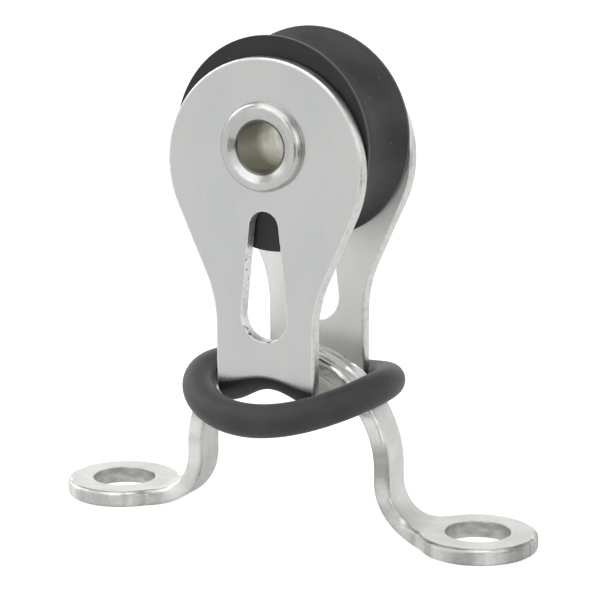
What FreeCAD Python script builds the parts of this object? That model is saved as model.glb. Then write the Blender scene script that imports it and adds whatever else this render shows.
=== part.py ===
"""Stand-up block for a small boat: a single sheave in a bent steel strap, hooked under a deck
saddle and held upright by a rubber ring.

Millimetres. The saddle stands on the deck plane z = 0 with its two holes in line along X. The
sheave turns about an axle along Y, and +Z is up.
"""
import FreeCAD, Part
import math
import os

from FreeCAD import Base

V = Base.Vector

# Saddle: a flat strap bent into an arch with a round foot at each end
STRAP_T = 1.5
HOLE_SPACING = 36.5
HOLE_D = 5.8
FOOT_D = 10.6
CROWN_W = 3.6
ARCH_R = 8.8
FOOT_BEND_R = 3.6
LEG_STRAIGHT = 1.0
SADDLE_EDGE_R = 0.4

# Sheave
SHEAVE_D = 19.0
SHEAVE_W = 8.2
RIM_LAND = 0.35
GROOVE_DEPTH = 1.4
SHEAVE_SIDE_GAP = 0.2
SHEAVE_BORE_GAP = 0.05

# Cheek strap: two cheeks and the web that joins them under the crown
CHEEK_T = 1.2
HEAD_D = 19.1
HEAD_DROP = 1.8
NECK_W = 9.8
NECK_BLEND_R = 11.0
FLANK_TILT = 25.0
SLOT_TOP_R = 1.45
SLOT_TOP_DROP = 7.15
SLOT_FOOT_R = 2.3
SLOT_FOOT_RISE = 5.0
CROWN_PLAY = 0.55
AXLE_ABOVE_WEB = 22.0
WEB_BELL = 1.7
BEND_IN_R = 0.4
BEND_OPENING = 0.9
BEND_TOP_LAND = 0.3
CHEEK_EDGE_R = 0.25

# Hollow axle rivet
RIVET_BORE_D = 4.5
RIVET_TUBE_D = 6.0
FLARE_R = 1.05
LIP_R = 0.65
LIP_H = 0.9

# Rubber ring
RING_SECTION_D = 3.0
RING_R = 8.45
RING_DEEP_R = 8.9
RING_SAG = 1.75
RING_TILT = 0.1
RING_PINCH = 0.65
RING_GAP = 0.12

# Heights that follow from the sizes above
ARCH_Z = STRAP_T + FOOT_BEND_R + LEG_STRAIGHT
CROWN_UNDER_Z = ARCH_Z + ARCH_R
WEB_UNDER_Z = CROWN_UNDER_Z - CROWN_PLAY - CHEEK_T
AXLE_Z = WEB_UNDER_Z + AXLE_ABOVE_WEB
CHEEK_GAP = SHEAVE_W + 2 * SHEAVE_SIDE_GAP
BLOCK_W = CHEEK_GAP + 2 * CHEEK_T
HALF_W = BLOCK_W / 2
HALF_GAP = CHEEK_GAP / 2
BEND_TOP_Z = WEB_UNDER_Z + CHEEK_T + BEND_IN_R + BEND_TOP_LAND
WEB_STATIONS = 3
MAX_EDGE = 0.45
OVER = 1.01
SHOULDER_R = ARCH_R + STRAP_T
RING_END_Z = ARCH_Z + math.sqrt((SHOULDER_R + RING_SECTION_D / 2 - RING_PINCH) ** 2 - RING_R ** 2)


def arc(a, mid, b):
    """Edge of the circle through three points."""
    return Part.Arc(V(*a), V(*mid), V(*b)).toShape()


def line(a, b):
    """Straight edge between two points."""
    return Part.makeLine(V(*a), V(*b))


def polar(cx, cz, radius, degrees, y=0.0):
    """Point on a circle in the XZ plane."""
    a = math.radians(degrees)
    return (cx + radius * math.cos(a), y, cz + radius * math.sin(a))


def face_of(edges):
    """Face inside a closed loop of edges."""
    return Part.Face(Part.Wire(Part.__sortEdges__(edges)))


def saddle_side(radius_in, foot_z, end_x):
    """One side of the strap seen from the front: foot, bend, leg, arch, leg, bend, foot."""
    bend_x = ARCH_R + STRAP_T + FOOT_BEND_R
    bend_z = STRAP_T + FOOT_BEND_R
    bend_r = bend_z - foot_z
    edges = [arc((-radius_in, 0, ARCH_Z), (0, 0, ARCH_Z + radius_in), (radius_in, 0, ARCH_Z))]
    for s in (-1, 1):
        leg_x = s * radius_in
        edges.append(line((leg_x, 0, ARCH_Z), (leg_x, 0, bend_z)))
        mid = polar(s * bend_x, bend_z, bend_r, 270 - s * 45)
        edges.append(arc((leg_x, 0, bend_z), mid, (s * bend_x, 0, foot_z)))
        edges.append(line((s * bend_x, 0, foot_z), (s * end_x, 0, foot_z)))
    return edges


def saddle_plan():
    """Outline from above: two round feet that run into the narrow strap along a hollow curve."""
    half_crown = CROWN_W / 2
    foot_r = FOOT_D / 2
    hole_x = HOLE_SPACING / 2
    narrow_x = ARCH_R + STRAP_T
    run = hole_x - narrow_x
    hollow_r = (run ** 2 + half_crown ** 2 - foot_r ** 2) / (2 * (foot_r - half_crown))
    hollow_y = half_crown + hollow_r
    reach = math.hypot(run, hollow_y)
    touch = (hole_x - foot_r * run / reach, foot_r * hollow_y / reach)
    half_angle = math.atan2(run, hollow_y) / 2
    mid = (narrow_x + hollow_r * math.sin(half_angle), hollow_y - hollow_r * math.cos(half_angle))
    edges = []
    for s in (-1, 1):
        edges.append(arc((s * touch[0], touch[1], 0), (s * (hole_x + foot_r), 0, 0),
                         (s * touch[0], -touch[1], 0)))
        for side in (-1, 1):
            edges.append(arc((s * narrow_x, side * half_crown, 0), (s * mid[0], side * mid[1], 0),
                             (s * touch[0], side * touch[1], 0)))
    for side in (-1, 1):
        edges.append(line((-narrow_x, side * half_crown, 0), (narrow_x, side * half_crown, 0)))
    return face_of(edges)


def make_saddle():
    """Bent strap: the side form cut to the outline seen from above, then drilled."""
    end_x = HOLE_SPACING / 2 + FOOT_D
    edges = saddle_side(ARCH_R, 0.0, end_x)
    edges += saddle_side(ARCH_R + STRAP_T, STRAP_T, end_x)
    for s in (-1, 1):
        edges.append(line((s * end_x, 0, 0), (s * end_x, 0, STRAP_T)))
    side = face_of(edges)
    side.translate(V(0, -FOOT_D, 0))
    band = side.extrude(V(0, 2 * FOOT_D, 0))
    top_z = CROWN_UNDER_Z + STRAP_T
    plan = saddle_plan()
    plan.translate(V(0, 0, -STRAP_T))
    solid = band.common(plan.extrude(V(0, 0, top_z + 2 * STRAP_T)))
    solid = solid.makeFillet(min(SADDLE_EDGE_R, STRAP_T * MAX_EDGE), long_edges(solid))
    for s in (-1, 1):
        hole = Part.makeCylinder(HOLE_D / 2, 3 * STRAP_T, V(s * HOLE_SPACING / 2, 0, -STRAP_T))
        solid = solid.cut(hole)
    return solid.removeSplitter()


def long_edges(solid):
    """Every edge of the undrilled saddle strap but the short ones across its thickness."""
    return [e for e in solid.Edges if e.Length > STRAP_T * OVER]


def bell_share(x):
    """How far the web has come down its bell at one place across its width, 0 to 1."""
    return (1 - math.cos(2 * math.pi * x / NECK_W)) / 2


def web_section(x):
    """The U of the strap at one place across its width, open upwards, its bends wider at the rims."""
    under = WEB_UNDER_Z - WEB_BELL * bell_share(x)
    in_r = BEND_IN_R + BEND_OPENING * bell_share(x)
    edges = []
    for half, low, radius in ((HALF_W, under, in_r + CHEEK_T), (HALF_GAP, under + CHEEK_T, in_r)):
        flat_y = half - radius
        bend_z = low + radius
        slant = radius * math.sqrt(0.5)
        edges.append(line((x, -flat_y, low), (x, flat_y, low)))
        for s in (-1, 1):
            edges.append(arc((x, s * half, bend_z),
                             (x, s * (flat_y + slant), bend_z - slant),
                             (x, s * flat_y, low)))
            edges.append(line((x, s * half, bend_z), (x, s * half, BEND_TOP_Z)))
    for s in (-1, 1):
        edges.append(line((x, s * HALF_GAP, BEND_TOP_Z), (x, s * HALF_W, BEND_TOP_Z)))
    return Part.Wire(Part.__sortEdges__(edges))


def cheek_outline():
    """Cheek above the bend line: parallel neck, hollow blends, straight flanks, round head."""
    head_r = HEAD_D / 2
    head_z = AXLE_Z - HEAD_DROP
    tilt = math.radians(FLANK_TILT)
    blend_x = NECK_W / 2 + NECK_BLEND_R
    flank = ((head_r + NECK_BLEND_R) * math.cos(tilt) - blend_x) / math.sin(tilt)
    blend_z = head_z - (head_r + NECK_BLEND_R) * math.sin(tilt) - flank * math.cos(tilt)
    head_end = polar(0, head_z, head_r, -FLANK_TILT)
    blend_start = polar(blend_x, blend_z, NECK_BLEND_R, 180 - FLANK_TILT)
    blend_mid = polar(blend_x, blend_z, NECK_BLEND_R, 180 - FLANK_TILT / 2)
    edges = [arc((-head_end[0], 0, head_end[2]), (0, 0, head_z + head_r), head_end)]
    for s in (-1, 1):
        start = (s * blend_start[0], 0, blend_start[2])
        neck_top = (s * NECK_W / 2, 0, blend_z)
        edges.append(line((s * head_end[0], 0, head_end[2]), start))
        edges.append(arc(start, (s * blend_mid[0], 0, blend_mid[2]), neck_top))
        edges.append(line(neck_top, (s * NECK_W / 2, 0, BEND_TOP_Z)))
    edges.append(line((-NECK_W / 2, 0, BEND_TOP_Z), (NECK_W / 2, 0, BEND_TOP_Z)))
    return face_of(edges)


def slot_outline():
    """Pear-shaped window: a small round top and a larger round foot joined by tangents."""
    top_z = AXLE_Z - SLOT_TOP_DROP
    foot_z = BEND_TOP_Z + SLOT_FOOT_RISE
    tilt = math.degrees(math.asin((SLOT_FOOT_R - SLOT_TOP_R) / (top_z - foot_z)))
    top = polar(0, top_z, SLOT_TOP_R, tilt)
    foot = polar(0, foot_z, SLOT_FOOT_R, tilt)
    edges = [arc((-top[0], 0, top[2]), (0, 0, top_z + SLOT_TOP_R), top),
             arc((-foot[0], 0, foot[2]), (0, 0, foot_z - SLOT_FOOT_R), foot)]
    for s in (-1, 1):
        edges.append(line((s * top[0], 0, top[2]), (s * foot[0], 0, foot[2])))
    return face_of(edges)


def across(face, y, depth):
    """Push a face of the XZ plane through from one place along Y."""
    moved = face.copy()
    moved.translate(V(0, y, 0))
    return moved.extrude(V(0, depth, 0))


def rim_edges(solid):
    """Edges of the cut outline and slots, without those across the plate or along the bends."""
    rim = []
    for e in solid.Edges:
        along_bend = e.BoundBox.ZMax < BEND_TOP_Z + CHEEK_T / 2 and e.BoundBox.XLength > CHEEK_T
        if e.Length > CHEEK_T * OVER and not along_bend:
            rim.append(e)
    return rim


def make_cheek_strap():
    """One plate: two drilled and slotted cheeks joined by the formed web under the crown."""
    steps = range(-WEB_STATIONS, WEB_STATIONS + 1)
    sections = [web_section(i * NECK_W / 2 / WEB_STATIONS) for i in steps]
    solid = Part.makeLoft(sections, True, False)
    outline = cheek_outline()
    for y in (-HALF_W, HALF_GAP):
        solid = solid.fuse(across(outline, y, CHEEK_T))
    solid = solid.removeSplitter()
    solid = solid.cut(across(slot_outline(), -BLOCK_W, 2 * BLOCK_W))
    solid = solid.makeFillet(min(CHEEK_EDGE_R, CHEEK_T * MAX_EDGE), rim_edges(solid))
    bore = Part.makeCylinder(RIVET_TUBE_D / 2, 2 * BLOCK_W, V(0, -BLOCK_W, AXLE_Z), V(0, 1, 0))
    return solid.cut(bore)


def make_axle_rivet():
    """Hollow rivet: a tube whose ends are flared out and rolled over the cheeks."""
    bore_r = RIVET_BORE_D / 2
    tube_r = RIVET_TUBE_D / 2
    crest_r = bore_r + FLARE_R
    top_y = HALF_W + LIP_H
    lip_y = top_y - LIP_R
    flare_y = top_y - FLARE_R
    slant = math.sqrt(0.5)
    edges = [line((bore_r, -flare_y, 0), (bore_r, flare_y, 0)),
             line((tube_r, -HALF_W, 0), (tube_r, HALF_W, 0))]
    for s in (-1, 1):
        edges.append(arc((bore_r, s * flare_y, 0),
                         (crest_r - FLARE_R * slant, s * (flare_y + FLARE_R * slant), 0),
                         (crest_r, s * top_y, 0)))
        edges.append(arc((crest_r, s * top_y, 0),
                         (crest_r + LIP_R * slant, s * (lip_y + LIP_R * slant), 0),
                         (crest_r + LIP_R, s * lip_y, 0)))
        edges.append(line((crest_r + LIP_R, s * lip_y, 0), (crest_r + LIP_R, s * HALF_W, 0)))
        edges.append(line((crest_r + LIP_R, s * HALF_W, 0), (tube_r, s * HALF_W, 0)))
    solid = face_of(edges).revolve(V(0, 0, 0), V(0, 1, 0), 360)
    solid.translate(V(0, 0, AXLE_Z))
    return solid


def ring_height(angle):
    """Height of the ring's centre line: up on the saddle's shoulders, sagging front and back."""
    return RING_END_Z - RING_SAG * math.sin(angle) ** 2 + RING_TILT * math.sin(angle)


def make_rubber_ring():
    """Round-section ring stretched about the block's foot, dented where the saddle presses in."""
    stations = 24
    points = []
    for i in range(stations):
        a = 2 * math.pi * i / stations
        points.append(V(RING_R * math.cos(a), RING_DEEP_R * math.sin(a), ring_height(a)))
    curve = Part.BSplineCurve()
    curve.interpolate(Points=points, PeriodicFlag=True)
    middle = (curve.FirstParameter + curve.LastParameter) / 2
    halves = []
    for start, end in ((curve.FirstParameter, middle), (middle, curve.LastParameter)):
        section = Part.Circle(curve.value(start), curve.tangent(start)[0], RING_SECTION_D / 2)
        path = Part.Wire([curve.toShape(start, end)])
        halves.append(path.makePipeShell([Part.Wire([section.toShape()])], True, False))
    solid = halves[0].fuse(halves[1])
    seat_w = CROWN_W + 2 * RING_GAP
    seat = Part.makeCylinder(SHOULDER_R + RING_GAP, seat_w, V(0, -seat_w / 2, ARCH_Z), V(0, 1, 0))
    return solid.cut(seat)


def make_sheave():
    """Turned sheave with a round groove, bored for the rivet."""
    r = SHEAVE_D / 2
    half = SHEAVE_W / 2
    bore = RIVET_TUBE_D / 2 + SHEAVE_BORE_GAP
    lip_y = half - RIM_LAND
    bottom = r - GROOVE_DEPTH
    edges = [line((bore, -half, 0), (r, -half, 0)),
             line((r, -half, 0), (r, -lip_y, 0)),
             arc((r, -lip_y, 0), (bottom, 0, 0), (r, lip_y, 0)),
             line((r, lip_y, 0), (r, half, 0)),
             line((r, half, 0), (bore, half, 0)),
             line((bore, half, 0), (bore, -half, 0))]
    solid = face_of(edges).revolve(V(0, 0, 0), V(0, 1, 0), 360)
    solid.translate(V(0, 0, AXLE_Z))
    return solid


PIECES = {
    "saddle": make_saddle,
    "cheek_strap": make_cheek_strap,
    "axle_rivet": make_axle_rivet,
    "sheave": make_sheave,
    "rubber_ring": make_rubber_ring,
}

os.makedirs("parts", exist_ok=True)
for name, make in PIECES.items():
    make().exportStep("parts/" + name + ".step")
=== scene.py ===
"""Looks of the stand-up block: saddle, bent cheek strap, hollow rivet, sheave and rubber ring."""
import bmesh
import bpy
import math
from mathutils import Matrix, Vector


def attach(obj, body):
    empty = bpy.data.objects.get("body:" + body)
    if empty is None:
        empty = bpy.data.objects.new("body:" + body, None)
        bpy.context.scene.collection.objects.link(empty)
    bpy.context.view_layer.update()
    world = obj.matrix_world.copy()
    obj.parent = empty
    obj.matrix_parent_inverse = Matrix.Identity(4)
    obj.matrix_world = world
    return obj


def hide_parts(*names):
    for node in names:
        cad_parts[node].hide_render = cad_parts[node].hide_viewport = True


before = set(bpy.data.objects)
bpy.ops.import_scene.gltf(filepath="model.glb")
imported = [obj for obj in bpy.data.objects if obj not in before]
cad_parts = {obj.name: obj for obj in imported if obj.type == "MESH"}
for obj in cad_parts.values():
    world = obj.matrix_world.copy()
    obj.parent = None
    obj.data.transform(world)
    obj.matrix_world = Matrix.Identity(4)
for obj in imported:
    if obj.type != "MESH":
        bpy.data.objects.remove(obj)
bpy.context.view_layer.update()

MM = 0.001

# Sizes shared with the solids, in millimetres
STRAP_T = 1.5
HOLE_SPACING = 36.5
HOLE_D = 5.8
FOOT_D = 10.6
CROWN_W = 3.6
ARCH_R = 8.8
FOOT_BEND_R = 3.6
LEG_STRAIGHT = 1.0
SADDLE_EDGE_R = 0.4
SHEAVE_D = 19.0
SHEAVE_W = 8.2
RIM_LAND = 0.35
GROOVE_DEPTH = 1.4
SHEAVE_SIDE_GAP = 0.2
SHEAVE_BORE_GAP = 0.05
CHEEK_T = 1.2
HEAD_D = 19.1
HEAD_DROP = 1.8
NECK_W = 9.8
NECK_BLEND_R = 11.0
FLANK_TILT = 25.0
SLOT_TOP_R = 1.45
SLOT_TOP_DROP = 7.15
SLOT_FOOT_R = 2.3
SLOT_FOOT_RISE = 5.0
CROWN_PLAY = 0.55
AXLE_ABOVE_WEB = 22.0
WEB_BELL = 1.7
BEND_IN_R = 0.4
BEND_OPENING = 0.9
BEND_TOP_LAND = 0.3
CHEEK_EDGE_R = 0.25
RIVET_BORE_D = 4.5
RIVET_TUBE_D = 6.0
FLARE_R = 1.05
LIP_R = 0.65
LIP_H = 0.9
RING_SECTION_D = 3.0
RING_R = 8.45
RING_DEEP_R = 8.9
RING_SAG = 1.75
RING_TILT = 0.1
RING_PINCH = 0.65
RING_GAP = 0.12

ARCH_Z = STRAP_T + FOOT_BEND_R + LEG_STRAIGHT
CROWN_UNDER_Z = ARCH_Z + ARCH_R
WEB_UNDER_Z = CROWN_UNDER_Z - CROWN_PLAY - CHEEK_T
AXLE_Z = WEB_UNDER_Z + AXLE_ABOVE_WEB
HALF_GAP = SHEAVE_W / 2 + SHEAVE_SIDE_GAP
HALF_W = HALF_GAP + CHEEK_T
BEND_TOP_Z = WEB_UNDER_Z + CHEEK_T + BEND_IN_R + BEND_TOP_LAND
SHOULDER_R = ARCH_R + STRAP_T
RING_END_Z = ARCH_Z + math.sqrt((SHOULDER_R + RING_SECTION_D / 2 - RING_PINCH) ** 2 - RING_R ** 2)

# Which of its piece's finishes a face takes
FACE, RIM = 0, 1
BORE = 1
HOLE = 2
INNER, SLOT = 2, 3


# Drawing and shaping. Each piece is drawn in millimetres and becomes metres in finish_piece.

UPWARD = Vector((0, 0, 1))
GRAIN = "flat lay"
WELD = 1e-3
CUT_SNAP = 1e-6
EDGE_STEPS = 4
SMOOTH_BELOW = 35
FLAT_ENOUGH = 0.9
DEAD_FLAT = 0.999


def start(bm, x, y):
    """Put the pen down in the XY plane."""
    return bm.verts.new((x, y, 0))


def run(bm, pen, x, y):
    """Straight stroke to a point."""
    end = bmesh.ops.extrude_vert_indiv(bm, verts=[pen])["verts"][0]
    end.co = (x, y, 0)
    return end


def turn(bm, pen, cx, cy, degrees, steps):
    """Round stroke about a centre, anticlockwise where the angle is positive."""
    swept = bmesh.ops.spin(bm, geom=[pen], cent=(cx, cy, 0), axis=UPWARD,
                           angle=math.radians(degrees), steps=steps)
    return swept["geom_last"][0]


def close_face(bm):
    """Join the first and last points of an outline and fill it."""
    bmesh.ops.remove_doubles(bm, verts=bm.verts, dist=WELD)
    bmesh.ops.contextual_create(bm, geom=bm.edges[:])


def unfold(bm, axis):
    """Mirror the drawing over a centre line and weld the two halves."""
    everything = bm.verts[:] + bm.edges[:] + bm.faces[:]
    bmesh.ops.mirror(bm, geom=everything, axis=axis, merge_dist=WELD)
    bmesh.ops.remove_doubles(bm, verts=bm.verts, dist=WELD)


def soften(bm, edges, radius):
    """Round edges over by a radius."""
    bmesh.ops.bevel(bm, geom=edges, offset=radius, offset_type="OFFSET", segments=EDGE_STEPS,
                    profile=0.5, affect="EDGES", clamp_overlap=False, material=-1)


def plate(bm, thickness, edge_r, pierced, burr_r):
    """Thicken the flat blank and round its cut edges, those of pierced openings only a little."""
    grown = bmesh.ops.extrude_face_region(bm, geom=bm.faces[:])
    lifted = [g for g in grown["geom"] if isinstance(g, bmesh.types.BMVert)]
    bmesh.ops.translate(bm, verts=lifted, vec=(0, 0, thickness))
    bmesh.ops.recalc_face_normals(bm, faces=bm.faces)
    rim = [e for e in bm.edges if len(e.link_faces) == 2
           and sum(abs(f.normal.z) > FLAT_ENOUGH for f in e.link_faces) == 1]
    openings = [e for e in rim if pierced(e.verts[0].co)]
    outside = [e for e in rim if not pierced(e.verts[0].co)]
    soften(bm, openings, burr_r)
    soften(bm, [e for e in outside if e.is_valid], edge_r)
    bm.normal_update()
    for f in bm.faces:
        f.material_index = FACE if abs(f.normal.z) > DEAD_FLAT else RIM


def keep_grain(bm):
    """Note where each point lay in the flat sheet, so that rolling lines follow the bends."""
    grain = bm.loops.layers.uv.new(GRAIN)
    for f in bm.faces:
        for corner in f.loops:
            corner[grain].uv = corner.vert.co.xy * MM


def slice_across(bm, axis, places, reach=math.inf):
    """Cut the flat strap across one axis at several places, no further than reach from Y = 0."""
    normal = Vector((1, 0, 0)) if axis == "X" else Vector((0, 1, 0))
    for place in places:
        faces = [f for f in bm.faces if abs(f.calc_center_bounds().y) < reach]
        edges = dict.fromkeys(e for f in faces for e in f.edges)
        verts = dict.fromkeys(v for f in faces for v in f.verts)
        bmesh.ops.bisect_plane(bm, geom=[*faces, *edges, *verts], dist=CUT_SNAP,
                               plane_co=normal * place, plane_no=normal)


def finish_piece(bm, name, body, node, finishes, smooth_below=SMOOTH_BELOW):
    """Turn millimetres into metres, shade, and stand the mesh for its CAD node."""
    bmesh.ops.recalc_face_normals(bm, faces=bm.faces)
    bmesh.ops.scale(bm, vec=(MM, MM, MM), verts=bm.verts)
    mesh = bpy.data.meshes.new(name)
    bm.to_mesh(mesh)
    bm.free()
    mesh.shade_smooth()
    mesh.set_sharp_from_angle(angle=math.radians(smooth_below))
    piece = bpy.data.objects.new(name, mesh)
    bpy.context.scene.collection.objects.link(piece)
    for finish in finishes:
        mesh.materials.append(finish)
    shading = piece.modifiers.new("face weighted shading", "WEIGHTED_NORMAL")
    shading.keep_sharp = True
    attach(piece, body)
    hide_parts(node)


# Saddle

MID_R = ARCH_R + STRAP_T / 2
ARCH_RUN = MID_R * math.pi / 2
LEG_RUN = ARCH_RUN + LEG_STRAIGHT
BEND_MID_R = FOOT_BEND_R + STRAP_T / 2
BEND_RUN = LEG_RUN + BEND_MID_R * math.pi / 2
FOOT_X = ARCH_R + STRAP_T + FOOT_BEND_R
HOLE_X = HOLE_SPACING / 2
HOLE_RUN = BEND_RUN + HOLE_X - FOOT_X
BURR_R = 0.1
WAIST_STEPS = 14
FOOT_STEPS = 44
HOLE_STEPS = 40
ARCH_CUTS = 36
BEND_CUTS = 22


def run_of(x):
    """Length along the strap's middle at a distance from its centre, from the leg outwards."""
    if x >= FOOT_X:
        return BEND_RUN + x - FOOT_X
    reach = min((FOOT_X - x) / BEND_MID_R, 1.0)
    return BEND_RUN - BEND_MID_R * math.asin(reach)


def bend_saddle(co):
    """Carry a point of the flat strap to its place on the arch, leg, bend or foot."""
    side = 1 if co.x >= 0 else -1
    u = abs(co.x)
    out = co.z - STRAP_T / 2
    if u < ARCH_RUN:
        a = u / MID_R
        r = MID_R + out
        return Vector((side * r * math.sin(a), co.y, ARCH_Z + r * math.cos(a)))
    if u < LEG_RUN:
        return Vector((side * (MID_R + out), co.y, ARCH_Z - (u - ARCH_RUN)))
    if u < BEND_RUN:
        a = (u - LEG_RUN) / BEND_MID_R
        r = BEND_MID_R - out
        centre_z = STRAP_T + FOOT_BEND_R
        return Vector((side * (FOOT_X - r * math.cos(a)), co.y, centre_z - r * math.sin(a)))
    return Vector((side * (FOOT_X + u - BEND_RUN), co.y, STRAP_T / 2 + out))


def in_hole(co):
    """Whether a point of the flat strap lies on the wall of a screw hole."""
    return math.hypot(abs(co.x) - HOLE_RUN, co.y) < HOLE_D / 2 + 2 * BURR_R


def saddle_blank(bm):
    """A quarter of the flat strap: from its middle along one edge to a foot, round it and back."""
    half = CROWN_W / 2
    foot_r = FOOT_D / 2
    hole_r = HOLE_D / 2
    waist_x = ARCH_R + STRAP_T
    reach_x = HOLE_X - waist_x
    hollow_r = (reach_x ** 2 + half ** 2 - foot_r ** 2) / (2 * (foot_r - half))
    hollow_y = half + hollow_r
    sweep = math.atan2(reach_x, hollow_y)
    shoulder = math.degrees(math.atan2(hollow_y, -reach_x))
    pen = start(bm, 0, 0)
    pen = run(bm, pen, 0, half)
    pen = run(bm, pen, run_of(waist_x), half)
    for i in range(1, WAIST_STEPS + 1):
        a = sweep * i / WAIST_STEPS
        pen = run(bm, pen, run_of(waist_x + hollow_r * math.sin(a)),
                  hollow_y - hollow_r * math.cos(a))
    pen = turn(bm, pen, HOLE_RUN, 0, -shoulder, FOOT_STEPS)
    pen = run(bm, pen, HOLE_RUN + hole_r, 0)
    pen = turn(bm, pen, HOLE_RUN, 0, 180, HOLE_STEPS)
    run(bm, pen, 0, 0)
    close_face(bm)


def make_saddle(finishes):
    """Strap with round feet, cut flat, rounded at its edges and bent."""
    bm = bmesh.new()
    saddle_blank(bm)
    unfold(bm, "X")
    unfold(bm, "Y")
    plate(bm, STRAP_T, SADDLE_EDGE_R, in_hole, BURR_R)
    for f in bm.faces:
        if f.material_index == RIM and in_hole(f.calc_center_median()):
            f.material_index = HOLE
    cuts = [ARCH_RUN * i / ARCH_CUTS for i in range(-ARCH_CUTS, ARCH_CUTS + 1)]
    cuts += [side * (LEG_RUN + (BEND_RUN - LEG_RUN) * i / BEND_CUTS)
             for i in range(BEND_CUTS + 1) for side in (-1, 1)]
    slice_across(bm, "X", cuts)
    keep_grain(bm)
    for v in bm.verts:
        v.co = bend_saddle(v.co)
    finish_piece(bm, "saddle_strap", "saddle", "saddle", finishes)


# Cheek strap

OUTER_BEND_R = CHEEK_T + BEND_IN_R
WEB_RUN = HALF_W - OUTER_BEND_R + OUTER_BEND_R * math.pi / 2 + BEND_TOP_LAND
SLOT_BURR_R = 0.05
BLEND_STEPS = 12
HEAD_STEPS = 60
RIVET_HOLE_STEPS = 40
SLOT_TOP_STEPS = 16
SLOT_FOOT_STEPS = 22
WEB_CUTS = 36
NECK_CUTS = 12


def bend_cheek(co):
    """Carry a point of the flat strap, laid along Y, to its place on the web, a bend or a cheek."""
    side = 1 if co.y >= 0 else -1
    v = abs(co.y)
    if v >= WEB_RUN:
        return Vector((co.x, side * (HALF_W - co.z), BEND_TOP_Z + v - WEB_RUN))
    x = max(-NECK_W / 2, min(NECK_W / 2, co.x))
    bell = (1 - math.cos(2 * math.pi * x / NECK_W)) / 2
    under = WEB_UNDER_Z - WEB_BELL * bell
    r = OUTER_BEND_R + BEND_OPENING * bell
    flat = HALF_W - r
    bend_end = flat + r * math.pi / 2
    s = v / WEB_RUN * (bend_end + BEND_TOP_Z - under - r)
    if s < flat:
        return Vector((co.x, side * s, under + co.z))
    if s > bend_end:
        return Vector((co.x, side * (HALF_W - co.z), under + r + s - bend_end))
    a = (s - flat) / r
    inward = r - co.z
    return Vector((co.x, side * (flat + inward * math.sin(a)), under + r - inward * math.cos(a)))


def in_slot(co):
    """Whether a point of the flat strap lies on the wall of a long slot or of the rivet's hole."""
    top = WEB_RUN - BEND_TOP_Z + AXLE_Z + RIVET_TUBE_D / 2 + BURR_R
    return abs(co.x) < RIVET_TUBE_D / 2 + BURR_R and WEB_RUN < abs(co.y) < top


def cheek_blank(bm):
    """Right half of one cheek of the flat strap, from the strap's middle to the top of the head."""
    head_r = HEAD_D / 2
    tube_r = RIVET_TUBE_D / 2
    tilt = math.radians(FLANK_TILT)
    axle_v = WEB_RUN - BEND_TOP_Z + AXLE_Z
    head_v = axle_v - HEAD_DROP
    blend_x = NECK_W / 2 + NECK_BLEND_R
    both_r = head_r + NECK_BLEND_R
    flank = (both_r * math.cos(tilt) - blend_x) / math.sin(tilt)
    blend_v = head_v - both_r * math.sin(tilt) - flank * math.cos(tilt)
    slot_top = axle_v - SLOT_TOP_DROP
    slot_foot = WEB_RUN + SLOT_FOOT_RISE
    lean = math.asin((SLOT_FOOT_R - SLOT_TOP_R) / (slot_top - slot_foot))
    pen = start(bm, 0, 0)
    pen = run(bm, pen, NECK_W / 2, 0)
    pen = run(bm, pen, NECK_W / 2, blend_v)
    pen = turn(bm, pen, blend_x, blend_v, -FLANK_TILT, BLEND_STEPS)
    pen = run(bm, pen, head_r * math.cos(tilt), head_v - head_r * math.sin(tilt))
    pen = turn(bm, pen, 0, head_v, 90 + FLANK_TILT, HEAD_STEPS)
    pen = run(bm, pen, 0, axle_v + tube_r)
    pen = turn(bm, pen, 0, axle_v, -180, RIVET_HOLE_STEPS)
    pen = run(bm, pen, 0, slot_top + SLOT_TOP_R)
    pen = turn(bm, pen, 0, slot_top, math.degrees(lean) - 90, SLOT_TOP_STEPS)
    pen = run(bm, pen, SLOT_FOOT_R * math.cos(lean), slot_foot + SLOT_FOOT_R * math.sin(lean))
    pen = turn(bm, pen, 0, slot_foot, -90 - math.degrees(lean), SLOT_FOOT_STEPS)
    run(bm, pen, 0, 0)
    close_face(bm)


def make_cheek_strap(finishes):
    """Both cheeks and the web: cut flat, rounded at the edges, then bent up and belled."""
    bm = bmesh.new()
    cheek_blank(bm)
    unfold(bm, "X")
    unfold(bm, "Y")
    plate(bm, CHEEK_T, CHEEK_EDGE_R, in_slot, SLOT_BURR_R)
    for f in bm.faces:
        if f.material_index == FACE and f.normal.z > 0:
            f.material_index = INNER
        if f.material_index == RIM and in_slot(f.calc_center_median()):
            f.material_index = SLOT
    web_cuts = [WEB_RUN * i / WEB_CUTS for i in range(1 - WEB_CUTS, WEB_CUTS)]
    neck_cuts = [NECK_W / 2 * i / NECK_CUTS for i in range(1 - NECK_CUTS, NECK_CUTS)]
    slice_across(bm, "Y", [-WEB_RUN, WEB_RUN])
    slice_across(bm, "Y", web_cuts, WEB_RUN)
    slice_across(bm, "X", neck_cuts, WEB_RUN)
    keep_grain(bm)
    for v in bm.verts:
        v.co = bend_cheek(v.co)
    finish_piece(bm, "bent_cheek_strap", "block", "cheek_strap", finishes)


# Turned pieces

FUNNEL_SLOPE = 28
BORE_RINGS = 12
LIP_STEPS = 22
RIVET_STEPS = 96
RIVET_SMOOTH_BELOW = 24
SHEAVE_EDGE_R = 0.1
SHEAVE_CORNER = 25
GROOVE_STEPS = 32
SHEAVE_STEPS = 144
SHEAVE_SMOOTH_BELOW = 30


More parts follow.
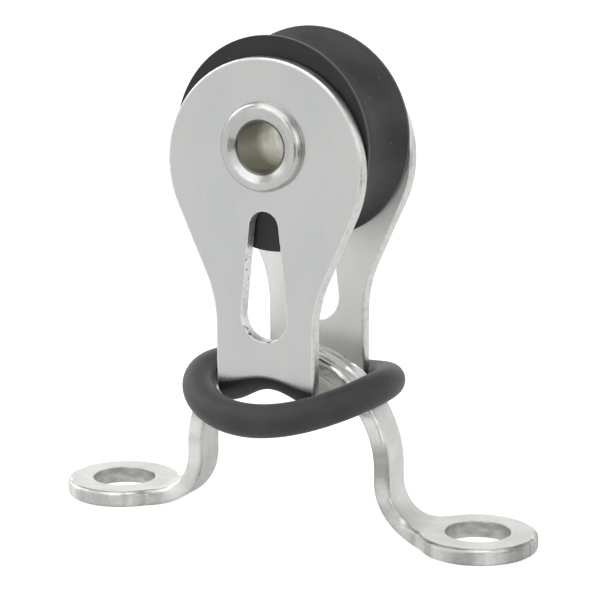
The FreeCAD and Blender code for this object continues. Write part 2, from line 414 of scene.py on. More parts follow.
def spin_round(bm, steps):
    """Turn an outline drawn as (along the axle, radius) about the axle, at the axle's height."""
    bmesh.ops.spin(bm, geom=bm.edges[:] + bm.verts[:], cent=(0, 0, 0), axis=(1, 0, 0),
                   angle=2 * math.pi, steps=steps, use_merge=True)
    bmesh.ops.remove_doubles(bm, verts=bm.verts, dist=WELD)
    bmesh.ops.rotate(bm, verts=bm.verts, cent=(0, 0, 0),
                     matrix=Matrix.Rotation(math.pi / 2, 3, "Z"))
    bmesh.ops.translate(bm, verts=bm.verts, vec=(0, 0, AXLE_Z))


def make_rivet(finishes):
    """Hollow rivet: each end spread into a shallow funnel and rolled over into a round lip."""
    bm = bmesh.new()
    bore_r = RIVET_BORE_D / 2
    tube_r = RIVET_TUBE_D / 2
    crest_r = bore_r + FLARE_R
    slope = math.radians(FUNNEL_SLOPE)
    lip_y = HALF_W + LIP_H - LIP_R
    rim_r = crest_r - LIP_R * math.sin(slope)
    rim_y = lip_y + LIP_R * math.cos(slope)
    tuck = math.asin((lip_y - HALF_W) / LIP_R)
    roll = 90 + FUNNEL_SLOPE + math.degrees(tuck)
    throat_y = rim_y - (rim_r - bore_r) * math.tan(slope)
    pen = start(bm, -throat_y, bore_r)
    for i in range(1, BORE_RINGS + 1):
        pen = run(bm, pen, -throat_y + 2 * throat_y * i / BORE_RINGS, bore_r)
    pen = run(bm, pen, rim_y, rim_r)
    pen = turn(bm, pen, lip_y, crest_r, roll, LIP_STEPS)
    pen = run(bm, pen, HALF_W, tube_r)
    pen = run(bm, pen, -HALF_W, tube_r)
    pen = run(bm, pen, -HALF_W, crest_r + LIP_R * math.cos(tuck))
    pen = turn(bm, pen, -lip_y, crest_r, roll, LIP_STEPS)
    run(bm, pen, -throat_y, bore_r)
    bmesh.ops.remove_doubles(bm, verts=bm.verts, dist=WELD)
    spin_round(bm, RIVET_STEPS)
    for f in bm.faces:
        middle = f.calc_center_median()
        in_bore = math.hypot(middle.x, middle.z - AXLE_Z) < bore_r + WELD
        f.material_index = BORE if in_bore else FACE
    finish_piece(bm, "flared_rivet", "block", "axle_rivet", finishes,
                 RIVET_SMOOTH_BELOW)


def make_sheave(finishes):
    """Turned sheave with a round rope groove."""
    bm = bmesh.new()
    r = SHEAVE_D / 2
    half = SHEAVE_W / 2
    bore = RIVET_TUBE_D / 2 + SHEAVE_BORE_GAP
    lip = half - RIM_LAND
    groove_r = (lip ** 2 + GROOVE_DEPTH ** 2) / (2 * GROOVE_DEPTH)
    half_sweep = math.degrees(math.asin(lip / groove_r))
    pen = start(bm, -half, bore)
    pen = run(bm, pen, -half, r)
    pen = run(bm, pen, -lip, r)
    pen = turn(bm, pen, 0, r - GROOVE_DEPTH + groove_r, 2 * half_sweep, GROOVE_STEPS)
    pen = run(bm, pen, half, r)
    pen = run(bm, pen, half, bore)
    run(bm, pen, -half, bore)
    bmesh.ops.remove_doubles(bm, verts=bm.verts, dist=WELD)
    spin_round(bm, SHEAVE_STEPS)
    corner = math.radians(SHEAVE_CORNER)
    soften(bm, [e for e in bm.edges if e.calc_face_angle(0) > corner], SHEAVE_EDGE_R)
    finish_piece(bm, "sheave_wheel", "sheave", "sheave", finishes,
                 SHEAVE_SMOOTH_BELOW)


# Ring

SECTION_STEPS = 40
RING_STEPS = 180
DENT_RUN_OUT = 0.6
SMOOTH_ALL = 180


def make_ring(finishes):
    """Rubber ring: sags front and back and is dented by the saddle's shoulders."""
    bm = bmesh.new()
    upright = Matrix.Rotation(math.pi / 2, 4, "X")
    bmesh.ops.create_circle(bm, cap_ends=False, radius=RING_SECTION_D / 2, segments=SECTION_STEPS,
                            matrix=Matrix.Translation((RING_R, 0, 0)) @ upright)
    bmesh.ops.spin(bm, geom=bm.edges[:] + bm.verts[:], cent=(0, 0, 0), axis=UPWARD,
                   angle=2 * math.pi, steps=RING_STEPS, use_merge=True)
    bmesh.ops.remove_doubles(bm, verts=bm.verts, dist=WELD)
    for v in bm.verts:
        a = math.atan2(v.co.y, v.co.x)
        v.co.y += (RING_DEEP_R - RING_R) * math.sin(a)
        v.co.z += RING_END_Z - RING_SAG * math.sin(a) ** 2 + RING_TILT * math.sin(a)
        from_arch = Vector((v.co.x, 0, v.co.z - ARCH_Z))
        short = SHOULDER_R + RING_GAP - from_arch.length
        if short > 0:
            past = abs(v.co.y) - CROWN_W / 2 - RING_GAP
            hold = 1.0 if past < 0 else max(0.0, 1 - past / DENT_RUN_OUT)
            v.co += from_arch.normalized() * short * hold
    finish_piece(bm, "rubber_ring_round", "ring", "rubber_ring", finishes,
                 SMOOTH_ALL)


# Finishes. Pattern sizes and depths are in millimetres. Colours are sRGB hex.

# Places and sizes of wear, stain, dust, painted shade and painted light, in millimetres
# Painted shade on the cheek strap's bends, standing for the ring's dark reflection
RING_SHADE_EDGE = 0.3
RING_SHADE_FAINT_Y, RING_SHADE_FULL_Y = 2.6, 3.8
CROWN_RUB_H = 1.6
CROWN_HOLLOW = 0.4
# A thin ring of painted shade where the rivet's funnel turns down into its bore
THROAT_SHADE_FULL, THROAT_SHADE_GONE = 0.15, 0.25
STAIN_START_Y, STAIN_FULL_Y = 1.4, 2.8
DUST_SPACING = 1.3
# Where the sheave's groove, painted lighter as painted light, fades into the sides
GROOVE_LIGHT_EDGE = 0.2
# Painted highlight along the sheave's rim crests
CREST_START, CREST_FULL = 0.07, 0.02

# Strengths and shares, which have no unit
RING_SHADE_FAINT = 0.6
SCRATCH_DULLING, RING_SHADE_DULLING = 0.08, 0.35
CROWN_POLISH, CROWN_EDGE_POLISH = 0.36, 0.18
WIPING_SHARE, FLECK_SHARE = 0.3, 0.15

METAL, NOT_METAL = 1.0, 0.0
NOISE_LOW, NOISE_MIDDLE, NOISE_HIGH = 0.3, 0.5, 0.7
NOISE = {"From_Min": NOISE_LOW, "From_Max": NOISE_HIGH}
COLOUR = {"data_type": "RGBA"}


def linear(code):
    """sRGB hex to linear colour."""
    out = []
    for i in (0, 2, 4):
        c = int(code[i:i + 2], 16) / 255
        out.append(c / 12.92 if c <= 0.04045 else ((c + 0.055) / 1.055) ** 2.4)
    return (*out, 1.0)


def add(tree, kind, settings=None, **inputs):
    """One node with its settings and inputs, each a value or a node's output. i0 is input 0."""
    made = tree.nodes.new(kind)
    for key, value in (settings or {}).items():
        setattr(made, key, value)
    for key, value in inputs.items():
        is_place = key[0] == "i" and key[1:].isdigit()
        socket = made.inputs[int(key[1:])] if is_place else made.inputs[key.replace("_", " ")]
        if isinstance(value, bpy.types.NodeSocket):
            tree.links.new(value, socket)
        else:
            socket.default_value = value
    return made


def new_finish(name, metallic, **constants):
    """New material with its node tree and shader, which holds what is the same all over."""
    material = bpy.data.materials.new(name)
    material.use_nodes = True
    shader = material.node_tree.nodes["Principled BSDF"]
    shader.inputs["Metallic"].default_value = metallic
    for key, value in constants.items():
        shader.inputs[key.replace("_", " ")].default_value = value
    return material, material.node_tree, shader


def dress(tree, shader, colour, roughness, normal):
    """Give the shader its colour, its roughness and its relief."""
    tree.links.new(colour, shader.inputs["Base Color"])
    tree.links.new(roughness, shader.inputs["Roughness"])
    tree.links.new(normal, shader.inputs["Normal"])


def grains(tree, place, size_mm, detail=2.0, rough=0.5):
    """Cloudy pattern whose grains are size_mm wide along each axis."""
    scaled = add(tree, "ShaderNodeMapping", Vector=place, Scale=[1 / (s * MM) for s in size_mm])
    noise = add(tree, "ShaderNodeTexNoise", Vector=scaled.outputs[0], Scale=1.0, Detail=detail,
                Roughness=rough)
    return noise.outputs["Fac"]


def mottle(tree, pattern, first, second, low=NOISE_LOW, high=NOISE_HIGH):
    """Colour that goes from one hex colour to another as a pattern goes from low to high."""
    share = add(tree, "ShaderNodeMapRange", Value=pattern, From_Min=low, From_Max=high)
    mixed = add(tree, "ShaderNodeMix", COLOUR, i0=share.outputs[0],
                i6=linear(first), i7=linear(second))
    return mixed.outputs[2]


def relief(tree, *layers):
    """Bumps of a real depth, each layer (pattern, depth_mm) laid over those before it."""
    normal = None
    for pattern, depth_mm in layers:
        bump = add(tree, "ShaderNodeBump", Height=pattern, Distance=depth_mm * MM, Strength=1.0)
        if normal:
            tree.links.new(normal, bump.inputs["Normal"])
        normal = bump.outputs[0]
    return normal


def about_axle(tree):
    """Places on a turned piece: (distance from the axle, place along it), and about its centre."""
    place = add(tree, "ShaderNodeTexCoord").outputs["Object"]
    centred = add(tree, "ShaderNodeMapping", Vector=place, Location=(0, 0, -AXLE_Z * MM))
    flat = add(tree, "ShaderNodeVectorMath", {"operation": "MULTIPLY"}, i0=centred.outputs[0],
               i1=(1, 0, 1))
    radius = add(tree, "ShaderNodeVectorMath", {"operation": "LENGTH"}, i0=flat.outputs[0])
    along = add(tree, "ShaderNodeSeparateXYZ", Vector=centred.outputs[0])
    turned = add(tree, "ShaderNodeCombineXYZ", X=radius.outputs["Value"], Y=along.outputs["Y"])
    return turned.outputs[0], centred.outputs[0]


def ring_reflection_shade(tree):
    """Painted shade where the ring's dark reflection falls on the bends: below the bell-shaped bend
    line, most outside.
    """
    place = add(tree, "ShaderNodeTexCoord").outputs["Object"]
    apart = add(tree, "ShaderNodeSeparateXYZ", Vector=place)
    swing = (WEB_BELL - BEND_OPENING) / 2 * MM
    middle = (BEND_TOP_Z - BEND_TOP_LAND) * MM - swing
    phase = add(tree, "ShaderNodeMath", {"operation": "MULTIPLY"}, i0=apart.outputs["X"],
                i1=2 * math.pi / (NECK_W * MM))
    wave = add(tree, "ShaderNodeMath", {"operation": "COSINE"}, i0=phase.outputs[0])
    bend_line = add(tree, "ShaderNodeMath", {"operation": "MULTIPLY_ADD"}, i0=wave.outputs[0],
                    i1=swing, i2=middle)
    below = add(tree, "ShaderNodeMath", {"operation": "SUBTRACT"}, i0=bend_line.outputs[0],
                i1=apart.outputs["Z"])
    outward = add(tree, "ShaderNodeMath", {"operation": "ABSOLUTE"}, i0=apart.outputs["Y"])
    on_bend = add(tree, "ShaderNodeMapRange", Value=below.outputs[0], From_Min=0.0,
                  From_Max=RING_SHADE_EDGE * MM)
    near_ring = add(tree, "ShaderNodeMapRange", Value=outward.outputs[0],
                    From_Min=RING_SHADE_FAINT_Y * MM, From_Max=RING_SHADE_FULL_Y * MM, To_Min=RING_SHADE_FAINT)
    # Mask of the painted shade
    rubbed = add(tree, "ShaderNodeMath", {"operation": "MULTIPLY"}, i0=on_bend.outputs[0],
                 i1=near_ring.outputs[0])
    return rubbed.outputs[0]


def polished_sheet():
    """Stainless sheet, rolled and polished: clear pale grey, faintly lined, with painted shade on
    the bends for the ring's dark reflection.
    """
    material, tree, shader = new_finish("stainless sheet, rolled and polished", METAL)
    flat = add(tree, "ShaderNodeUVMap", {"uv_map": GRAIN}).outputs[0]
    clouds = grains(tree, flat, (7, 10, 1), detail=3)
    # Polishing lines are a few hundredths of a millimetre apart. Drawn coarser, so that they show.
    lines = grains(tree, flat, (0.3, 12, 1), detail=3, rough=0.6)
    wipes = grains(tree, flat, (2.4, 7, 1))
    contour = grains(tree, flat, (1.4, 22, 1), detail=1)
    off_middle = add(tree, "ShaderNodeMath", {"operation": "SUBTRACT"}, i0=contour,
                     i1=NOISE_MIDDLE)
    distance = add(tree, "ShaderNodeMath", {"operation": "ABSOLUTE"}, i0=off_middle.outputs[0])
    scratch = add(tree, "ShaderNodeMapRange", Value=distance.outputs[0], From_Min=0.0,
                  From_Max=0.006, To_Min=1, To_Max=0)
    # rubbed is the mask of painted shade: the ring's dark reflection on the bends
    rubbed = ring_reflection_shade(tree)
    clean = mottle(tree, clouds, "C6C8C7", "CDCECC")
    ring_shade_painted = add(tree, "ShaderNodeMix", COLOUR, i0=rubbed, i6=clean, i7=linear("474847"))
    haze = add(tree, "ShaderNodeMapRange", Value=wipes, **NOISE, To_Min=0.2, To_Max=0.27)
    scratched = add(tree, "ShaderNodeMath", {"operation": "MULTIPLY_ADD"}, i0=scratch.outputs[0],
                    i1=SCRATCH_DULLING, i2=haze.outputs[0])
    # Roughness rises over the same painted shade
    dulled = add(tree, "ShaderNodeMath", {"operation": "MULTIPLY_ADD"}, i0=rubbed,
                 i1=RING_SHADE_DULLING, i2=scratched.outputs[0])
    dress(tree, shader, ring_shade_painted.outputs[2], dulled.outputs[0],
          relief(tree, (clouds, 0.012), (lines, 0.0004)))
    return material


def inside_face_painted_lighter():
    """Inside of the stainless sheet, as it was rolled: satin, with soft long wipes, and painted
    near-white as painted light.
    """
    material, tree, shader = new_finish("stainless sheet, as rolled", METAL)
    flat = add(tree, "ShaderNodeUVMap", {"uv_map": GRAIN}).outputs[0]
    clouds = grains(tree, flat, (3, 8, 1), detail=3)
    wipes = grains(tree, flat, (0.5, 9, 1), detail=3, rough=0.6)
    satin = add(tree, "ShaderNodeMapRange", Value=wipes, **NOISE, To_Min=0.44, To_Max=0.56)
    # Painted light: near-white, far paler than the outer face, to lift the inner faces where the
    # two cheeks shade each other. The satin finish is the sheet's own.
    dress(tree, shader, mottle(tree, clouds, "F0F0ED", "FAFAF7"), satin.outputs[0],
          relief(tree, (clouds, 0.03), (wipes, 0.004)))
    return material


def punched_wall():
    """Wall of the sheet's long slots, punched: torn in places, with bright and dark flecks."""
    material, tree, shader = new_finish("stainless sheet, punched slot", METAL)
    place = add(tree, "ShaderNodeTexCoord").outputs["Object"]
    flecks = grains(tree, place, (0.5, 0.6, 0.5), detail=3, rough=0.6)
    torn = grains(tree, place, (1.6, 1.2, 1.1), detail=3, rough=0.65)
    deep = add(tree, "ShaderNodeMapRange", Value=torn, From_Min=0.34, From_Max=0.4)
    small = add(tree, "ShaderNodeMapRange", Value=flecks, From_Min=0.35, From_Max=0.4, To_Min=0.35)
    whole = add(tree, "ShaderNodeMath", {"operation": "MULTIPLY"}, i0=deep.outputs[0],
                i1=small.outputs[0])
    flecked = add(tree, "ShaderNodeMix", COLOUR, i0=whole.outputs[0], i6=linear("6C6C68"),
                  i7=linear("FCFCFA"))
    rough = add(tree, "ShaderNodeMapRange", Value=flecks, **NOISE, To_Min=0.52, To_Max=0.4)
    dress(tree, shader, flecked.outputs[2], rough.outputs[0],
          relief(tree, (torn, 0.08), (flecks, 0.05)))
    return material


def tumbled_edge():
    """Edge of the sheet, sheared and tumbled: bright and rounded over, with a few small flecks."""
    material, tree, shader = new_finish("stainless sheet edge, sheared and tumbled", METAL)
    place = add(tree, "ShaderNodeTexCoord").outputs["Object"]
    lumps = grains(tree, place, (1.8, 1.2, 1.8))
    flecks = grains(tree, place, (0.5, 0.6, 0.5), detail=3, rough=0.6)
    rough = add(tree, "ShaderNodeMapRange", Value=lumps, **NOISE, To_Min=0.4, To_Max=0.3)
    dress(tree, shader, mottle(tree, flecks, "D0D0CC", "E2E2DF", high=0.55), rough.outputs[0],
          relief(tree, (lumps, 0.05), (flecks, 0.002)))
    return material


def rubbed_by_block(tree, place, flat):
    """Where the swinging block has rubbed the saddle's crown bright, and its long hollows there."""
    height = add(tree, "ShaderNodeSeparateXYZ", Vector=place).outputs["Z"]
    rubbed = add(tree, "ShaderNodeMapRange", Value=height,
                 From_Min=(CROWN_UNDER_Z - CROWN_RUB_H) * MM, From_Max=CROWN_UNDER_Z * MM)
    troughs = grains(tree, flat, (4.5, 1.3, 1), detail=1)
    worn = add(tree, "ShaderNodeMath", {"operation": "MULTIPLY"}, i0=rubbed.outputs[0], i1=troughs)
    return rubbed.outputs[0], (worn.outputs[0], CROWN_HOLLOW)


def tumbled_strap():
    """Stainless strip, bent and barrel tumbled: even pale satin, bright where the block swings."""
    material, tree, shader = new_finish("stainless strip, barrel tumbled", METAL)
    place = add(tree, "ShaderNodeTexCoord").outputs["Object"]
    flat = add(tree, "ShaderNodeUVMap", {"uv_map": GRAIN}).outputs[0]
    peening = grains(tree, place, (0.5, 0.5, 0.5), detail=3)
    wiping = grains(tree, flat, (4, 0.35, 1), detail=3, rough=0.6)
    clouds = grains(tree, place, (3, 3, 3), detail=3)
    streaked = add(tree, "ShaderNodeMath", {"operation": "MULTIPLY_ADD"}, i0=wiping,
                   i1=WIPING_SHARE, i2=clouds)
    rubbed, hollows = rubbed_by_block(tree, place, flat)
    satin = add(tree, "ShaderNodeMapRange", Value=wiping, **NOISE, To_Min=0.51, To_Max=0.56)
    rough = add(tree, "ShaderNodeMath", {"operation": "MULTIPLY_ADD"}, i0=rubbed,
                i1=-CROWN_POLISH, i2=satin.outputs[0])
    dress(tree, shader, mottle(tree, streaked.outputs[0], "D6D6D2", "EBEBE8", 0.45, 0.85),
          rough.outputs[0], relief(tree, hollows, (peening, 0.008), (wiping, 0.001)))
    return material


def sheared_strip_edge():
    """Edge of the strip, sheared, drawn in the bends and tumbled: greyer and softly blotched."""
    material, tree, shader = new_finish("stainless strip edge, sheared and worn round", METAL)
    place = add(tree, "ShaderNodeTexCoord").outputs["Object"]
    flat = add(tree, "ShaderNodeUVMap", {"uv_map": GRAIN}).outputs[0]
    blotches = grains(tree, flat, (4.2, 1.6, 1))
    drawn = grains(tree, flat, (3.5, 0.3, 1), detail=3, rough=0.6)
    lumps = grains(tree, place, (3.4, 1.8, 1.6), detail=1)
    flecks = grains(tree, place, (0.3, 0.3, 0.3), detail=3, rough=0.6)
    mixed = add(tree, "ShaderNodeMath", {"operation": "MULTIPLY_ADD"}, i0=flecks,
                i1=FLECK_SHARE, i2=blotches)
    rubbed, hollows = rubbed_by_block(tree, place, flat)
    worn = add(tree, "ShaderNodeMapRange", Value=drawn, **NOISE, To_Min=0.32, To_Max=0.42)
    rough = add(tree, "ShaderNodeMath", {"operation": "MULTIPLY_ADD"}, i0=rubbed,
                i1=-CROWN_EDGE_POLISH, i2=worn.outputs[0])
    dress(tree, shader, mottle(tree, mixed.outputs[0], "A8A9A5", "E8E8E4", 0.42, 0.68),
          rough.outputs[0], relief(tree, hollows, (lumps, 0.3), (drawn, 0.003), (flecks, 0.002)))
    return material


def screw_hole_wall():
    """Wall of a screw hole, punched and reamed: a darker and mottled grey."""
    material, tree, shader = new_finish("stainless strip, punched hole", METAL)
    place = add(tree, "ShaderNodeTexCoord").outputs["Object"]
    clouds = grains(tree, place, (1.3, 1.3, 0.6), detail=3, rough=0.55)
    score = grains(tree, place, (4, 4, 0.14))
    rough = add(tree, "ShaderNodeMapRange", Value=clouds, **NOISE, To_Min=0.5, To_Max=0.36)
    dress(tree, shader, mottle(tree, clouds, "AEAFAA", "D8D8D3"), rough.outputs[0],
          relief(tree, (clouds, 0.04), (score, 0.004)))
    return material


def spun_tube():
    """Stainless tube, ends spun over and polished: bright, faintly ringed, with painted shade at
    the throat.
    """
    material, tree, shader = new_finish("stainless tube, spun over and polished", METAL)
    turned, centred = about_axle(tree)
    # The spinning tool's rings are finer than this. Drawn coarser, so that they show.
    rings = grains(tree, turned, (0.12, 0.2, 1), detail=3, rough=0.6)
    rocked = grains(tree, centred, (1.8, 1.8, 1.8))
    radius = add(tree, "ShaderNodeSeparateXYZ", Vector=turned).outputs["X"]
    bore_r = RIVET_BORE_D / 2
    # Painted shade: the funnel is painted dark next to the bore's edge
    throat = add(tree, "ShaderNodeMapRange", Value=radius, From_Min=(bore_r + THROAT_SHADE_FULL) * MM,
                 From_Max=(bore_r + THROAT_SHADE_GONE) * MM, To_Min=1, To_Max=0)
    throat_shade_painted = add(tree, "ShaderNodeMix", COLOUR, i0=throat.outputs[0],
                i6=mottle(tree, rocked, "BDBDBB", "CBCBC9"), i7=linear("62625F"))
    gloss = add(tree, "ShaderNodeMapRange", Value=rings, **NOISE, To_Min=0.25, To_Max=0.29)
    dress(tree, shader, throat_shade_painted.outputs[2], gloss.outputs[0],
          relief(tree, (rocked, 0.07), (rings, 0.0004)))
    return material


def drawn_bore():
    """Inside of the tube, as it was drawn: dull warm grey, scored round, stained at its ends."""
    material, tree, shader = new_finish("stainless tube bore, as drawn", METAL)
    turned, centred = about_axle(tree)
    score = grains(tree, turned, (1, 0.3, 1), detail=3, rough=0.65)
    clouds = grains(tree, centred, (1.2, 2, 1.2), detail=3)
    along = add(tree, "ShaderNodeSeparateXYZ", Vector=centred).outputs["Y"]
    outward = add(tree, "ShaderNodeMath", {"operation": "ABSOLUTE"}, i0=along)
    near_end = add(tree, "ShaderNodeMapRange", Value=outward.outputs[0],
                   From_Min=STAIN_START_Y * MM, From_Max=STAIN_FULL_Y * MM)
    stained = add(tree, "ShaderNodeMix", COLOUR, i0=near_end.outputs[0],
                  i6=mottle(tree, clouds, "D4D2C4", "F6F4E8"), i7=linear("A8A69A"))
    rough = add(tree, "ShaderNodeMapRange", Value=score, **NOISE, To_Min=0.3, To_Max=0.46)
    dress(tree, shader, stained.outputs[2], rough.outputs[0], relief(tree, (score, 0.006)))
    return material


def turned_acetal():
    """Black acetal, turned on a lathe: satin, with fine rings, the groove painted lighter as
    painted light, a painted highlight on each crest, and some dust.
    """
    material, tree, shader = new_finish("black acetal, turned", NOT_METAL, IOR=1.48,
                                        Specular_IOR_Level=0.4)
    turned, centred = about_axle(tree)
    # The lathe's feed marks are finer than this. Drawn coarser, so that they show.
    rings = grains(tree, turned, (0.16, 0.16, 1), detail=3, rough=0.6)
    bloom = grains(tree, centred, (4, 4, 4), detail=3)
    scaled = add(tree, "ShaderNodeMapping", Vector=centred, Scale=[1 / (DUST_SPACING * MM)] * 3)
    dots = add(tree, "ShaderNodeTexVoronoi", Vector=scaled.outputs[0], Scale=1.0)
    dust = add(tree, "ShaderNodeMapRange", Value=dots.outputs["Distance"], From_Min=0.035,
               From_Max=0.06, To_Min=1, To_Max=0)
    along = add(tree, "ShaderNodeSeparateXYZ", Vector=centred).outputs["Y"]
    outward = add(tree, "ShaderNodeMath", {"operation": "ABSOLUTE"}, i0=along)
    # Painted light: the groove is painted lighter than the sides, for the light it catches
    groove_end = SHEAVE_W / 2 - RIM_LAND
    groove_painted_lighter = add(tree, "ShaderNodeMapRange", Value=outward.outputs[0],
                From_Min=(groove_end - GROOVE_LIGHT_EDGE) * MM, From_Max=groove_end * MM,
                To_Min=1, To_Max=0)
    radius = add(tree, "ShaderNodeSeparateXYZ", Vector=turned).outputs["X"]
    # Painted highlight: a thin bright line along each rim's crest
    rim_r = SHEAVE_D / 2
    crest = add(tree, "ShaderNodeMapRange", Value=radius, From_Min=(rim_r - CREST_START) * MM,
                From_Max=(rim_r - CREST_FULL) * MM)
    worn = add(tree, "ShaderNodeMix", COLOUR, i0=groove_painted_lighter.outputs[0],
               i6=mottle(tree, bloom, "222223", "2B2B2C"),
               i7=mottle(tree, bloom, "303031", "3F3F3F"))
    crest_highlight_painted = add(tree, "ShaderNodeMix", COLOUR, i0=crest.outputs[0], i6=worn.outputs[2],
                    i7=linear("505051"))
    dusty = add(tree, "ShaderNodeMix", COLOUR, i0=dust.outputs[0], i6=crest_highlight_painted.outputs[2],
                i7=linear("767674"))
    satin = add(tree, "ShaderNodeMapRange", Value=rings, **NOISE, To_Min=0.36, To_Max=0.48)
    dress(tree, shader, dusty.outputs[2], satin.outputs[0], relief(tree, (rings, 0.004)))
    return material


def moulded_rubber():
    """Black rubber, moulded: matt, with a fine grain and a faint grey bloom."""
    material, tree, shader = new_finish("black rubber, moulded", NOT_METAL, IOR=1.5,
                                        Sheen_Weight=0.16, Sheen_Roughness=0.4)
    place = add(tree, "ShaderNodeTexCoord").outputs["Object"]
    # The mould's own grain is finer than this. Drawn coarser, so that it shows.
    grain = grains(tree, place, (0.2, 0.2, 0.2), detail=3, rough=0.6)
    bloom = grains(tree, place, (2.5, 2.5, 2.5), detail=3)
    matt = add(tree, "ShaderNodeMapRange", Value=grain, **NOISE, To_Min=0.5, To_Max=0.64)
    dress(tree, shader, mottle(tree, bloom, "2D2D2F", "393939"), matt.outputs[0],
          relief(tree, (grain, 0.008)))
    return material


make_saddle([tumbled_strap(), sheared_strip_edge(), screw_hole_wall()])
make_cheek_strap([polished_sheet(), tumbled_edge(), inside_face_painted_lighter(), punched_wall()])
make_rivet([spun_tube(), drawn_bore()])
make_sheave([turned_acetal()])
make_ring([moulded_rubber()])


# Camera: degrees, and millimetres about the middle of the axle

AZIMUTH = 28.07
ELEVATION = 12.92
ROLL = 0.25
DISTANCE = 220.47
RIGHT_OF_AXLE = 0.63
BELOW_AXLE = 14.32
FOCAL_PX = 2500
FRAME_PX = 600
SENSOR_W = 36
NEAREST_M = 0.01


def set_camera():
    """Camera at the photograph's angle, distance and framing."""
    az = math.radians(AZIMUTH)
    el = math.radians(ELEVATION)
    roll = math.radians(ROLL)
    back = Vector((math.sin(az) * math.cos(el), -math.cos(az) * math.cos(el), math.sin(el)))
    level = Vector((math.cos(az), math.sin(az), 0))
    steep = back.cross(level)
    across = level * math.cos(roll) - steep * math.sin(roll)
    upward = level * math.sin(roll) + steep * math.cos(roll)
    target = Vector((0, 0, AXLE_Z)) + across * RIGHT_OF_AXLE - upward * BELOW_AXLE
    lens = bpy.data.cameras.new("camera")
    lens.sensor_width = SENSOR_W
    lens.lens = FOCAL_PX / FRAME_PX * SENSOR_W
    lens.clip_start = NEAREST_M
    camera = bpy.data.objects.new("camera", lens)
    bpy.context.scene.collection.objects.link(camera)
    turned = Matrix((across, upward, back)).transposed().to_4x4()
    camera.matrix_world = Matrix.Translation((target + back * DISTANCE) * MM) @ turned
    bpy.context.scene.camera = camera


set_camera()


# Floor, cards and light, in metres

FLOOR_HALF = 3
FLOOR_GLOW_SEEN = 0.83
FLOOR_GLOW_REFLECTED = 0.2
CEILING_STARTS = 0.25
CEILING_ENDS = 0.6
CEILING_LEVEL = 0.42
FILL_SHARE = 0.5


def seen_rays(tree):
    """Light Path node, and whether a ray is the camera's or one from a mirror or glass."""
    ray = add(tree, "ShaderNodeLightPath")
    seen = add(tree, "ShaderNodeMath", {"operation": "MAXIMUM"}, i0=ray.outputs["Is Camera Ray"],
               i1=ray.outputs["Is Glossy Ray"])
    seen = add(tree, "ShaderNodeMath", {"operation": "MAXIMUM"}, i0=seen.outputs[0],
               i1=ray.outputs["Is Transmission Ray"])
    return ray, seen.outputs[0]


def white_paper():
    """Floor paper: white to the eye and in reflections, and it still takes the object's shadow."""
    material, tree, shader = new_finish("paper, matt white", NOT_METAL, Roughness=0.9,
                                        Base_Color=linear("F4F4F4"))
    ray, seen = seen_rays(tree)
    tint = add(tree, "ShaderNodeMix", COLOUR, i0=ray.outputs["Is Camera Ray"],
               i6=linear("E8E8E8"), i7=linear("BFBFBF"))
    lift = add(tree, "ShaderNodeMix", i0=ray.outputs["Is Camera Ray"], i2=FLOOR_GLOW_REFLECTED,
               i3=FLOOR_GLOW_SEEN)
    lit = add(tree, "ShaderNodeBsdfDiffuse", Color=tint.outputs[2])
    glow = add(tree, "ShaderNodeEmission", Color=(1, 1, 1, 1), Strength=lift.outputs[0])
    bright = add(tree, "ShaderNodeAddShader", i0=lit.outputs[0], i1=glow.outputs[0])
    chosen = add(tree, "ShaderNodeMixShader", i0=seen, i1=shader.outputs[0], i2=bright.outputs[0])
    tree.links.new(chosen.outputs[0], tree.nodes["Material Output"].inputs["Surface"])
    return material


def black_card():
    """Card, matt black: a plain dark grey with no shine."""
    material, _, _ = new_finish("card, matt black", NOT_METAL, Roughness=0.9,
                                Base_Color=linear("1A1A1A"))
    return material


def stand_on_stage(bm, name, material):
    """Put a mesh of the studio in the scene, apart from the part."""
    mesh = bpy.data.meshes.new(name)
    bm.to_mesh(mesh)
    bm.free()
    mesh.materials.append(material)
    thing = bpy.data.objects.new(name, mesh)
    bpy.context.scene.collection.objects.link(thing)
    return thing


def lay_floor():
    """Plain pale floor under the feet."""
    bm = bmesh.new()
    bmesh.ops.create_grid(bm, x_segments=1, y_segments=1, size=FLOOR_HALF)
    stand_on_stage(bm, "floor", white_paper())


def stand_card(name, place, material, width, height):
    """Upright card that only polished metal shows: it gives the rivet its dark accents."""
    bm = bmesh.new()
    bmesh.ops.create_grid(bm, x_segments=1, y_segments=1, size=0.5)
    bmesh.ops.scale(bm, verts=bm.verts, vec=(width, height, 1))
    facing = Vector((place[0], place[1], 0)).to_track_quat("Z", "Y").to_matrix().to_4x4()
    bmesh.ops.transform(bm, verts=bm.verts, matrix=Matrix.Translation(place) @ facing)
    card = stand_on_stage(bm, name, material)
    card.visible_camera = card.visible_diffuse = card.visible_shadow = False


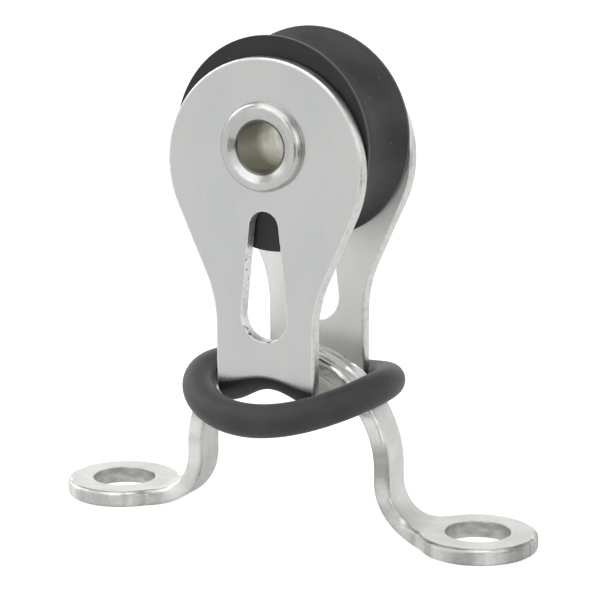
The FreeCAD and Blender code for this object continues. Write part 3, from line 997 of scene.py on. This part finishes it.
def softbox(name, place, width, height, radiance):
    """Rectangular lamp of even brightness that faces the block."""
    lamp = bpy.data.lights.new(name, "AREA")
    lamp.shape = "RECTANGLE"
    lamp.size = width
    lamp.size_y = height
    lamp.energy = radiance * math.pi * width * height
    box = bpy.data.objects.new(name, lamp)
    facing = Vector(place).to_track_quat("Z", "Y").to_matrix().to_4x4()
    box.matrix_world = Matrix.Translation(place) @ facing
    box.visible_camera = False
    bpy.context.scene.collection.objects.link(box)


def light_the_room():
    """World: white to the camera, greyer overhead in reflections, and a soft fill for the rest."""
    world = bpy.data.worlds.new("studio")
    bpy.context.scene.world = world
    world.use_nodes = True
    tree = world.node_tree
    ray, seen = seen_rays(tree)
    direction = add(tree, "ShaderNodeTexCoord").outputs["Generated"]
    height = add(tree, "ShaderNodeSeparateXYZ", Vector=direction).outputs["Z"]
    ceiling = add(tree, "ShaderNodeMapRange", Value=height, From_Min=CEILING_STARTS,
                  From_Max=CEILING_ENDS, To_Min=1.0, To_Max=CEILING_LEVEL)
    fill = add(tree, "ShaderNodeMath", {"operation": "MULTIPLY"}, i0=ceiling.outputs[0],
               i1=FILL_SHARE)
    backdrop = add(tree, "ShaderNodeMath", {"operation": "MAXIMUM"},
                   i0=ray.outputs["Is Camera Ray"], i1=ceiling.outputs[0])
    strength = add(tree, "ShaderNodeMix", i0=seen, i2=fill.outputs[0], i3=backdrop.outputs[0])
    studio = tree.nodes["Background"]
    studio.inputs["Color"].default_value = (1, 1, 1, 1)
    tree.links.new(strength.outputs[0], studio.inputs["Strength"])


lay_floor()
black = black_card()
stand_card("card below the camera", (0.041, -0.077, 0.021), black, width=0.034, height=0.03)
stand_card("card on the right", (0.1, -0.01, 0.014), black, width=0.07, height=0.026)
softbox("overhead softbox", (0.03, -0.12, 0.72), width=0.9, height=0.8, radiance=1.15)
softbox("left softbox", (-0.62, -0.05, 0.42), width=0.35, height=0.45, radiance=2.4)
softbox("high front softbox", (-0.08, -0.6, 0.5), width=0.7, height=0.42, radiance=1.2)
softbox("right softbox", (0.64, -0.2, 0.3), width=0.3, height=0.4, radiance=1.2)
softbox("left rear strip", (-0.33, 0.62, 0.2), width=0.7, height=0.3, radiance=0.9)
light_the_room()

bpy.context.scene.view_settings.view_transform = "Standard"
